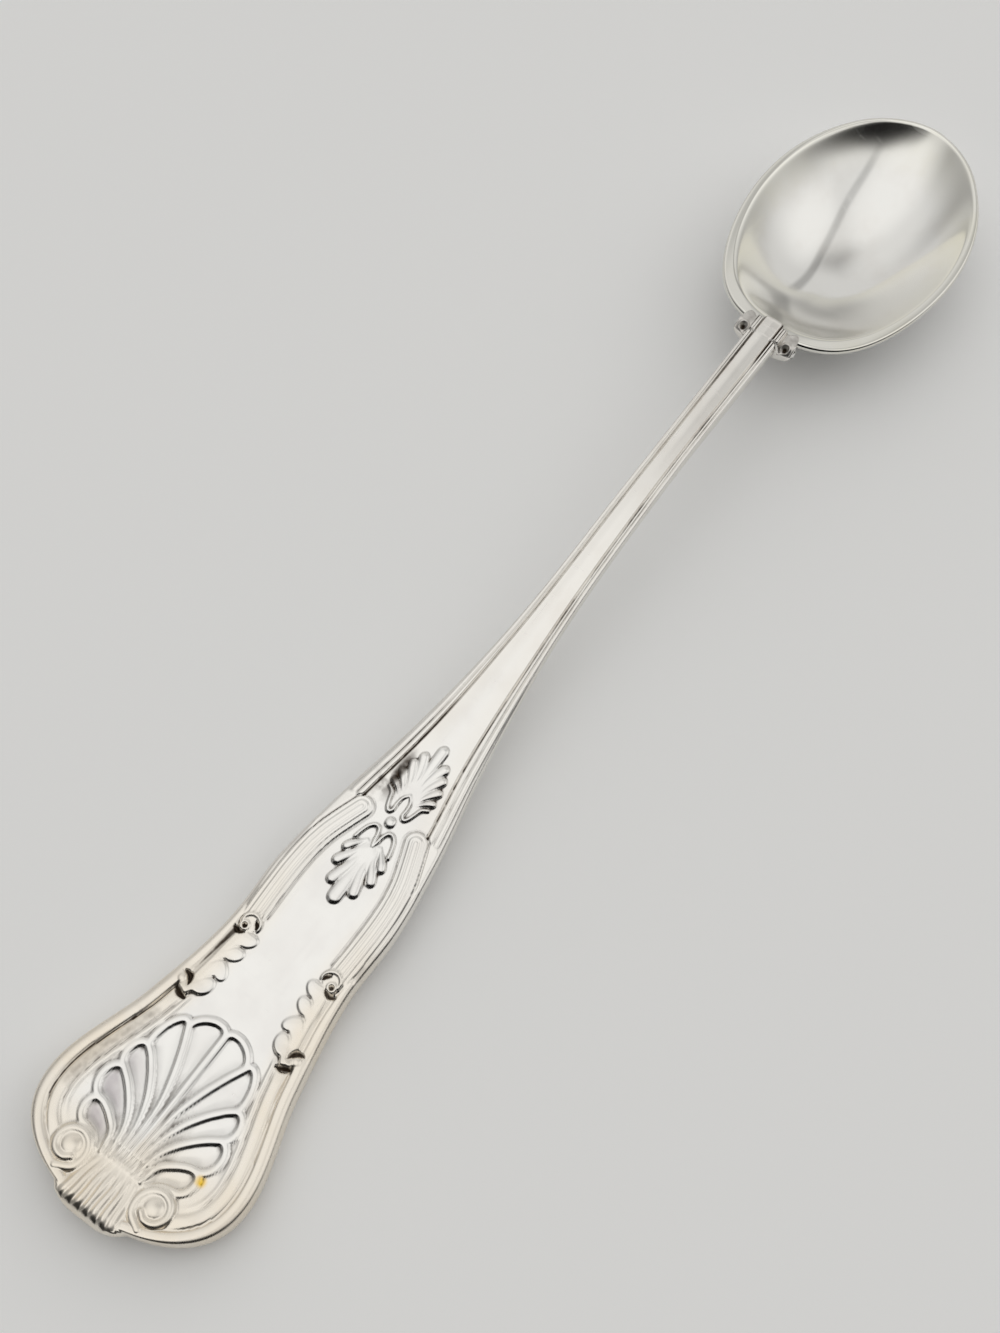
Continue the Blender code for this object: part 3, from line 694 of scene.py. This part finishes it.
def soften(grid, reach):
    """Mean over a square of neighbours, reach to each side."""
    for axis in (0, 1):
        pad = [(0, 0), (0, 0)]
        pad[axis] = (reach, reach)
        padded = np.pad(grid, pad, mode="edge")
        length = grid.shape[axis]
        grid = sum(np.take(padded, range(k, k + length), axis=axis) for k in range(2 * reach + 1))
        grid = grid / (2 * reach + 1)
    return grid


def face_warmth(x, y):
    """Share of the cream tone of old plate: full on the tie and along the border, reaching further up
    to the right of the shell, less towards the middle of the face, and fading out along the stem."""
    near_edge = 1 - ease((edge_gap(x, np.abs(y)) - 2.0) / 4.5)
    near_tie = 1 - ease((x - 7.0) / np.where(y < 0, 14.0, 8.0))
    return np.maximum(near_edge, near_tie) * (1 - 0.75 * ease((x - 34.0) / 34.0))


def cell_lilac_shade(x, y):
    """Share of lilac-grey painted shade in the shell's hollows to the left of its middle."""
    hollow = np.clip(-shell(x, np.abs(y))[1] / 0.20, 0, 1)
    return hollow * ease((np.degrees(np.arctan2(y, x - SHELL_ROOT)) - 16.0) / 28.0)


WEDGE_LINE = ((37.2, 10.1), (41.3, 9.5), (44.6, 9.0))


def tarnish_and_painted_shade(x, y):
    """Share of painted shade and tarnished patches besides that in the crevices: painted shade in the leaf's
    cuts, on the lugs and in their eyes and, to the left, in a wedge along the leaf; tarnishing with painted
    shade in the grooves of the stem; to the left, a tarnished cloud beside the upper palmette and a brown
    streak along the border."""
    left = y > 0
    y = np.abs(y)
    inset = edge_gap(x, y)
    width = smooth_line(THREAD_LINE, x)
    # Grooves of the stem: tarnishing with painted shade, stronger to the left and near the bowl.
    line = wire(inset - width, 0.40, 1.0) + wire(inset - width / 2, 0.30, 0.85)
    left_line = 0.44 + 0.64 * (1 - ease((x - 86.0) / 10.0)) + 0.35 * ease((x - 158.0) / 16.0)
    right_line = 0.50 + 0.22 * np.sin(0.45 * x) * np.sin(0.17 * x) + 0.5 * ease((x - 170.0) / 7.0)
    line = line * ease((x - THREAD_START) / THREAD_RISE) * np.where(left, left_line, right_line)
    line = line * on_stem(x, y)
    # Painted shade: the shaded wall of the groove beside the leaf, to the left.
    gap, share = near(x, y, line_through(WEDGE_LINE))
    wedge = 0.85 * ease((0.40 + 0.40 * share - gap) / 0.55) * left
    cloud = 0.80 * ease((1 - np.hypot((x - 79.0) / 6.5, (y - 3.7) / 1.7)) / 0.8) * left
    streak = wire(inset - 2.7, 2.4, 0.52) * held(x, 9.0, 5.0, 27.0, 5.0) * left
    # Painted shade in the drilled eyes and on the lugs.
    eye = 0.9 * (1 - ease(np.hypot(x - LUG_EYE[0], y - LUG_EYE[1]) / 0.75))
    lug = 0.52 * ease((x - LUG_START) / 0.6) * ease((y - STEM_HALF) / 0.4)
    return np.maximum.reduce((leaf_shadow(x, y), line, wedge, cloud, streak, eye, lug))


def dirt_and_shade_share(x, y):
    """Share of grime and painted shade kept in the crevices: less on the tie, and less painted shade near
    the right edge.
    """
    right = (1 - ease((edge_gap(x, np.abs(y)) - 3.0) / 1.0)) * (1 - ease((x - 70.0) / 3.0)) * (y < 0)
    return (0.30 + 0.70 * ease((x - 7.0) / 4.0)) * (1 - 0.6 * right)


CREVICE_DEPTH = 0.24


def struck_rows(x, columns):
    """Rows of the struck length at the stations x: the face is the plain line with the relief on it, lowered
    on the lugs, and face and back close to their middle over the round nose. With them go the shares of grime
    with painted shade, of cream tone and of lilac painted shade on the face. Grime and painted shade lie
    where the relief is below the mean of its neighbourhood, and further painted shade and tarnished patches
    are added."""
    width = half_width(x)
    face_x = np.repeat(x[:, None], len(columns), axis=1)
    face_y = width[:, None] * columns
    plain = smooth_line(FACE_LINE, x)
    relief = ornament(face_x, np.abs(face_y))
    # crevice: grime with painted shade where the relief lies below its neighbours, kept less on the tie and
    # near the right edge, with more painted shade in the cuts, grooves and lugs; the third share is lilac
    # painted shade in the shell's left-hand hollows.
    crevice = np.clip((soften(soften(relief, 2), 2) - relief) / CREVICE_DEPTH, 0, 1)
    looks = {"crevice": np.maximum(crevice * dirt_and_shade_share(face_x, face_y), tarnish_and_painted_shade(face_x, face_y)),
             "warmth": face_warmth(face_x, face_y),
             "tint_share": cell_lilac_shade(face_x, face_y)}
    on_lug = ease((face_x - LUG_START) / LUG_RAMP + 1)
    beside = ease((np.abs(face_y) - STEM_HALF + 0.1) / 0.5)
    drop = LUG_DROP - LUG_CLIMB * ease((face_x - LUG_START) / (LAP_START - LUG_START))
    face = plain[:, None] + relief - drop * on_lug * beside
    back = np.maximum(plain - smooth_line(THICKNESS_LINE, x), 0)
    nose = nose_round(x)
    middle = (plain + back) / 2
    face = middle[:, None] + (face - middle[:, None]) * nose[:, None]
    back = middle + (back - middle) * nose
    return (face_x, face_y, face, width, smooth_line(BULGE_LINE, x), back), looks


END_ROUNDING = ((0.45, 0.0), (0.8, 0.04), (0.95, 0.22), (1.0, 0.5), (0.98, 0.8), (0.9, 1.0), (0.05, 1.0))
END_START = 0.02
END_REACH = 1.5
LUG_REACH = 1.9
PANEL_REACH = 0.9
PANEL_HALF = 1.95
END_REST = 14.2
END_CLEARANCE = 0.10


def end_rows(struck):
    """Rows that round off the panel and the lugs over the lip of the bowl: each goes a share of the way
    forward and sinks a share of the way down to just above the lip. Panel and lugs come forward furthest."""
    y, top = struck[1][-1], struck[2][-1]
    forward = END_REACH + LUG_REACH * ease((np.abs(y) - 2.6) / 2.6)
    forward = forward * np.sqrt(np.maximum(1 - (y / LUG_HALF) ** 6, 0))
    forward = forward + PANEL_REACH * np.sqrt(np.maximum(1 - (y / PANEL_HALF) ** 8, 0))
    reach, sink = np.array(END_ROUNDING).T[:, :, None]
    x = LAP_START + END_START + forward * reach
    rest = np.maximum(bowl_inside(np.maximum(x, BOWL_HEEL), y) + END_CLEARANCE, END_REST)
    z = np.where(forward > 0, top + (np.minimum(rest, top) - top) * sink, top)
    width, bulge, back = (np.repeat(part[-1:], len(END_ROUNDING)) for part in struck[3:])
    return x, np.repeat(y[None], len(END_ROUNDING), axis=0), z, width, bulge, back


def tongue_rows(columns, stem_back):
    """Rows of the tongue: behind the rim, then along the bowl, a wall and a gap below its inner face,
    thinning and losing the swell of its edges towards its tip."""
    x = np.concatenate(((LAP_START + 0.1, LAP_START + 0.25), np.linspace(BOWL_HEEL, TONGUE_END, TONGUE_ROWS)))
    width = half_width(x)
    face_x = np.repeat(x[:, None], len(columns), axis=1)
    face_y = width[:, None] * columns
    under_x = np.maximum(face_x, BOWL_HEEL)
    face = bowl_inside(under_x, face_y) - (BOWL_WALL + LAP_GAP) / bowl_normal(under_x, face_y)[..., 2]
    share = np.clip((x - BOWL_HEEL) / (TONGUE_END - BOWL_HEEL), 0, 1)
    thickness = TONGUE_THICKNESS + (TONGUE_TIP_THICKNESS - TONGUE_THICKNESS) * share
    back = np.minimum(face[:, FACE_COLUMNS // 2] - thickness, stem_back)
    return face_x, face_y, face, width, BULGE_LINE[-1][1] * (1 - share), back


def edge_columns(face_edge, width, bulge, back):
    """Distance out and height of the columns down one edge, from face to back: half an ellipse that swells
    out by the bulge and is drawn in towards the back."""
    angle = np.linspace(0, math.pi, SIDE_COLUMNS + 2)[1:-1]
    out = width[:, None] + bulge[:, None] * np.sin(angle) - BACK_INSET * ((1 - np.cos(angle)) / 2) ** 2
    height = ((face_edge + back) / 2)[:, None] + ((face_edge - back) / 2)[:, None] * np.cos(angle)
    return out, height


def handle_rings():
    """Rings round the handle: the face with its relief, a half-elliptic edge, the plain back and the other
    edge, along the struck length, over the rounded end at the bowl and on under the bowl as the tongue. The
    looks of the face go with them, and its cream tone also goes round the edges and the back."""
    columns = np.linspace(-1, 1, FACE_COLUMNS + 1)
    struck, looks = struck_rows(handle_stations(), columns)
    rows = (struck, end_rows(struck), tongue_rows(columns, struck[-1][-1]))
    face_x, face_y, face, width, bulge, back = (np.concatenate(part) for part in zip(*rows))
    left_y, left_z = edge_columns(face[:, -1], width, bulge, back)
    right_y, right_z = edge_columns(face[:, 0], width, bulge, back)
    back_y = (width - BACK_INSET)[:, None] * np.linspace(1, -1, BACK_COLUMNS + 1)
    back_z = np.repeat(back[:, None], BACK_COLUMNS + 1, axis=1)
    y = np.concatenate((face_y, left_y, back_y, -right_y[:, ::-1]), axis=1)
    z = np.concatenate((face, left_z, back_z, right_z[:, ::-1]), axis=1)
    x = np.concatenate((face_x, np.repeat(face_x[:, :1], y.shape[1] - len(columns), axis=1)), axis=1)
    grids = {}
    for label, values in looks.items():
        values = np.concatenate((values, np.repeat(values[-1:], len(END_ROUNDING), axis=0)))
        grids[label] = np.zeros(y.shape)
        grids[label][:len(values), :len(columns)] = values
    struck_count = len(struck[0])
    grids["warmth"][:struck_count, len(columns):] = grids["warmth"][:struck_count, :1]
    return np.stack((x, y, z), axis=-1), grids


STAIN_AT = (13.0, -10.3, 5.4)
CLOUD_AT = (76.0, 4.2, 8.4)
STRUCK_BRIGHT = (0.860, 0.850, 0.824, 1)
STRUCK_CLOUDED = (0.815, 0.800, 0.776, 1)
CREAM = (0.845, 0.770, 0.655, 1)
LILAC_SHADE = (0.400, 0.360, 0.380, 1)
STAIN_YELLOW = (0.860, 0.560, 0.060, 1)
CLOUD_GREY = (0.260, 0.240, 0.225, 1)
DIRT_AND_SHADE_BROWN = (0.055, 0.039, 0.027, 1)
HANDLE_SCRATCHES = ((0.1, (60, 1500, 400)), (-0.7, (1200, 90, 400)))


def struck_silver():
    """Silver plate over struck relief: bright on the raised work, brown-black in the hollows by the attribute
    crevice, which holds grime with painted shade, and cream by warmth, with lilac painted shade in the
    shell's left-hand hollows, one yellow stain, one tarnished cloud and fine scratches."""
    material, shader, t = new_finish("struck silver plate")
    place = t.node("ShaderNodeTexCoord", {}, {}, "Object")

    def painted(name):
        return t.node("ShaderNodeAttribute", {"attribute_name": name}, {}, "Fac")

    def spot(middle, inner, outer):
        point = tuple(np.add(middle, (SCROLL_END, 0, 0)) * MM)
        away = t.node("ShaderNodeVectorMath", {"operation": "DISTANCE"}, {0: place, 1: point}, "Value")
        return 1 - away.between(inner * MM, outer * MM)

    grain = t.noise(place, 900.0, 3.0)
    patchy = t.noise(place, 120.0, 3.0).between(0.42, 0.72)
    colour = patchy.blend(STRUCK_BRIGHT, STRUCK_CLOUDED)
    warmth = painted("warmth")
    colour = (warmth * (0.7 + 0.3 * patchy)).blend(colour, CREAM)
    # Lilac-grey painted shade in the shell's hollows to the left of its middle.
    colour = (painted("tint_share") * (0.55 + 0.5 * patchy)).blend(colour, LILAC_SHADE)
    colour = (spot(STAIN_AT, 0.3, 1.2) * (0.4 + 0.9 * grain)).blend(colour, STAIN_YELLOW)
    cloud = spot(CLOUD_AT, 0.5, 4.0) * t.noise(place, 500.0, 4.0).between(0.40, 0.65)
    colour = (cloud * 0.8).blend(colour, CLOUD_GREY)
    # Brown-black grime with painted shade in the hollows, cuts and grooves, by the attribute crevice.
    dirt_and_shade = (painted("crevice") * (0.7 + 0.6 * grain)).between(0.25, 0.95)
    colour = dirt_and_shade.blend(colour, DIRT_AND_SHADE_BROWN)
    hairs = hairlines(t, place, HANDLE_SCRATCHES, 0.58, 0.72)
    height = hairs + 0.6 * grain
    bump = t.node("ShaderNodeBump", {}, {"Strength": 0.08, "Distance": 0.00003, "Height": height})
    rough = 0.18 + 0.06 * grain + 0.05 * hairs + 0.25 * dirt_and_shade + 0.07 * warmth
    connect(shader, Base_Color=colour, Roughness=rough, Normal=bump)
    return material


handle_grid, handle_looks = handle_rings()
handle = make_piece("handle_struck", handle_grid, struck_silver(), **handle_looks)
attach(handle, "root")
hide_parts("handle")

# Solder seam: a fillet of silver solder run into the corner round the tongue, under the bowl. It was drawn
# in by the heat, so it is smooth and a little uneven, and duller than the plate.
SOLDER_RADIUS = 0.6
SOLDER_START = 6.1
SOLDER_TURNS = 14
SOLDER_STEPS = 40
SOLDER_TIP_STEPS = 16
SOLDER_OUTSIDE = 0.3
SOLDER_PALE = (0.78, 0.77, 0.74, 1)
SOLDER_GREY = (0.62, 0.60, 0.56, 1)


def solder_rings():
    """Round bead carried along the tongue's outline at a fixed distance below the bowl, with its radius
    rising and falling a little along its length and closing at both ends."""
    standoff = SOLDER_RADIUS + LAP_GAP
    tongue = TONGUE_END - BOWL_HEEL
    slide = np.linspace(math.asin(SOLDER_START / tongue), math.pi / 2, SOLDER_STEPS)
    stations = BOWL_HEEL + tongue * np.sin(slide)
    side = half_width(stations) + standoff + SOLDER_OUTSIDE
    tip = np.linspace(math.pi / 2, -math.pi / 2, SOLDER_TIP_STEPS)[1:-1]
    x = np.concatenate((stations, TONGUE_END + side[-1] * np.cos(tip), stations[::-1]))
    y = np.concatenate((side, side[-1] * np.sin(tip), -side[::-1]))
    z = bowl_inside(x, y) - (BOWL_WALL + standoff) / bowl_normal(x, y)[:, 2]
    middle = np.stack((x, y, z), axis=1)
    along = np.gradient(middle, axis=0)
    along /= np.linalg.norm(along, axis=1, keepdims=True)
    across = np.cross(along, bowl_normal(x, y))
    across /= np.linalg.norm(across, axis=1, keepdims=True)
    up = np.cross(across, along)
    k = np.arange(len(x))
    radius = SOLDER_RADIUS * (0.93 + 0.06 * np.sin(0.55 * k) * np.sin(0.23 * k + 1.0))
    radius = radius * np.sqrt(np.clip(1 - np.abs(2 * k / k[-1] - 1) ** 40, 0.05, 1))
    turn = np.linspace(0, 2 * math.pi, SOLDER_TURNS, endpoint=False)
    ring = across[:, None] * np.cos(turn)[None, :, None] + up[:, None] * np.sin(turn)[None, :, None]
    return middle[:, None] + radius[:, None, None] * ring


def solder_finish():
    """Satin grey silver with cloudy colour and a faint pebbled surface."""
    material, shader, t = new_finish("silver solder")
    place = t.node("ShaderNodeTexCoord", {}, {}, "Object")
    cloud = t.noise(place, 700.0, 4.0)
    colour = cloud.between(0.35, 0.7).blend(SOLDER_PALE, SOLDER_GREY)
    bump = t.node("ShaderNodeBump", {}, {"Strength": 0.25, "Distance": 0.00005, "Height": cloud})
    connect(shader, Base_Color=colour, Roughness=0.30 + 0.15 * cloud, Normal=bump)
    return material


seam = make_piece("solder_seam_bead", solder_rings(), solder_finish())
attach(seam, "root")
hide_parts("solder_seam")

# Table top: a sheet of matt pale grey card that the spoon lies on, wide enough to fill the view. The camera
# and the polished metal see it with a faint glow of its own, which lights nothing else.
TABLE_REACH = 3.0
TABLE_LINES = 9
CARD_COLOUR = (0.948, 0.950, 0.943, 1)
CARD_ROUGHNESS = 0.8
CARD_GLOW = (0.02, 0.02, 0.02, 1)


def table_top():
    """Flat grid under the spoon with a matt pale finish."""
    line = np.linspace(-TABLE_REACH, TABLE_REACH, TABLE_LINES)
    x, y = np.meshgrid(line, line)
    points = np.stack((x, y, np.zeros_like(x)), axis=-1).reshape(-1, 3)
    at = np.arange(len(points)).reshape(TABLE_LINES, TABLE_LINES)
    quads = np.stack((at[:-1, :-1], at[:-1, 1:], at[1:, 1:], at[1:, :-1]), axis=-1).reshape(-1, 4)
    mesh = bpy.data.meshes.new("table_top")
    mesh.from_pydata(points, [], quads.tolist())
    material, shader, t = new_finish("pale card")
    shader.inputs["Metallic"].default_value = 0.0
    shader.inputs["Roughness"].default_value = CARD_ROUGHNESS
    shader.inputs["Base Color"].default_value = CARD_COLOUR
    shader.inputs["Emission Strength"].default_value = 1.0
    seen = t.node("ShaderNodeLightPath", {}, {}, "Is Camera Ray")
    seen = seen + t.node("ShaderNodeLightPath", {}, {}, "Is Glossy Ray")
    connect(shader, Emission_Color=seen.blend((0, 0, 0, 1), CARD_GLOW))
    mesh.materials.append(material)
    top = bpy.data.objects.new("table_top", mesh)
    bpy.context.scene.collection.objects.link(top)
    return top


table_top()

# Light: a plain pale room as one strength for each direction. It has broad soft bright patches above and to
# the sides, a fine darker line across one of them, and a dark end. The camera sees an even pale backdrop.
ROOM_LEVEL = 0.44
BRIGHT_LEVEL = 1.03
BACKDROP_LEVEL = 0.63
LOW_LEVEL = 0.6
LOW_HEIGHT = 0.25
ROOM_TINT = (1.0, 0.992, 0.975, 1)
LIGHT_PATCHES = ((154.3, 75.8, 12.7, 43.3, 1.0), (-46.2, 36.9, 1.0, 29.7, 1.0),
                 (-99.8, 66.9, 27.8, 50.3, 0.72), (160.7, 17.2, 24.7, 32.3, 0.49),
                 (71.7, 56.1, 11.6, 38.6, 0.70), (12.4, -29.3, 62.8, 87.5, 0.54))
DARK_PATCHES = ((-160.5, -46.3, 98.1, 107.6, 0.65), (-146.9, -6.0, 55.3, 64.2, 0.93),
                (-126.6, -14.5, 53.7, 63.9, 0.97), (-167.4, 14.3, 34.2, 46.1, 0.97))
LINE_AXIS = (-76.2, -16.9)
LINE_OFFSET = 0.17
LINE_EDGES = (0.030, 0.085)
LINE_PATCH = (-40.0, 40.0, 45.0, 63.0, 0.30)


def room_light():
    """World strength by direction: an even level, brightened by soft-edged round patches and darkened by
    others, each given by the turn and height of its middle, its inner and outer radius in degrees and its
    strength. A line a little off a great circle is darkened across one patch, and the level falls off near
    the floor."""
    world = bpy.data.worlds.new("room")
    world.use_nodes = True
    bpy.context.scene.world = world
    t = Tone(world.node_tree)
    direction = t.node("ShaderNodeTexCoord", {}, {}, "Generated")

    def along(turn, height):
        turn, height = math.radians(turn), math.radians(height)
        middle = (math.cos(height) * math.cos(turn), math.cos(height) * math.sin(turn), math.sin(height))
        settings = {"operation": "DOT_PRODUCT"}
        return t.node("ShaderNodeVectorMath", settings, {0: direction, 1: middle}, "Value")

    def patch(turn, height, inner, outer, strength):
        limits = math.cos(math.radians(outer)), math.cos(math.radians(inner))
        return strength * along(turn, height).between(*limits)

    plain = 1.0
    for values in LIGHT_PATCHES:
        plain = plain * (1 - patch(*values))
    level = BRIGHT_LEVEL - (BRIGHT_LEVEL - ROOM_LEVEL) * plain
    off_line = t.maths("ABSOLUTE", along(*LINE_AXIS) - LINE_OFFSET)
    level = level - patch(*LINE_PATCH) * (1 - off_line.between(*LINE_EDGES))
    height = t.node("ShaderNodeSeparateXYZ", {}, {"Vector": direction}, "Z")
    level = level * (LOW_LEVEL + (1 - LOW_LEVEL) * height.between(0.0, LOW_HEIGHT))
    for values in DARK_PATCHES:
        level = level * (1 - patch(*values))
    seen = t.node("ShaderNodeLightPath", {}, {}, "Is Camera Ray")
    level = level + seen * (BACKDROP_LEVEL - level)
    background = world.node_tree.nodes["Background"]
    world.node_tree.links.new(level.socket, background.inputs["Strength"])
    background.inputs["Color"].default_value = ROOM_TINT


room_light()

# Camera: above the scroll end and a little to one side, looking down along the spoon. Place, turn and focal
# length are those at which the spoon fills the picture as it does in the reference.
CAMERA_AT = (-0.944, -58.445, 249.173)
CAMERA_PAN = math.radians(30.101)
CAMERA_DIP = math.radians(63.501)
CAMERA_ROLL = math.radians(5.748)
FOCAL_PIXELS = 1665.34
PICTURE_HEIGHT = 1333
SENSOR_HEIGHT = 36.0
NEAREST_SEEN = 0.005


def add_camera():
    """Camera from its pan, dip and roll: forward is turned by the pan and dipped, right stays level, and both
    right and up are then rolled about forward."""
    pan, dip, roll = CAMERA_PAN, CAMERA_DIP, CAMERA_ROLL
    forward = np.array((math.cos(pan) * math.cos(dip), math.sin(pan) * math.cos(dip), -math.sin(dip)))
    level = np.array((math.sin(pan), -math.cos(pan), 0.0))
    upright = np.cross(level, forward)
    right = math.cos(roll) * level + math.sin(roll) * upright
    up = math.cos(roll) * upright - math.sin(roll) * level
    place = (np.array(CAMERA_AT) + np.array((SCROLL_END, 0, 0))) * MM
    data = bpy.data.cameras.new("camera")
    data.sensor_fit = "VERTICAL"
    data.sensor_height = SENSOR_HEIGHT
    data.lens = FOCAL_PIXELS * SENSOR_HEIGHT / PICTURE_HEIGHT
    data.clip_start = NEAREST_SEEN
    camera = bpy.data.objects.new("camera", data)
    turned = Matrix(np.stack((right, up, -forward), axis=1).tolist()).to_4x4()
    camera.matrix_world = Matrix.Translation(place) @ turned
    bpy.context.scene.collection.objects.link(camera)
    bpy.context.scene.camera = camera


add_camera()
bpy.context.scene.view_settings.view_transform = "Standard"
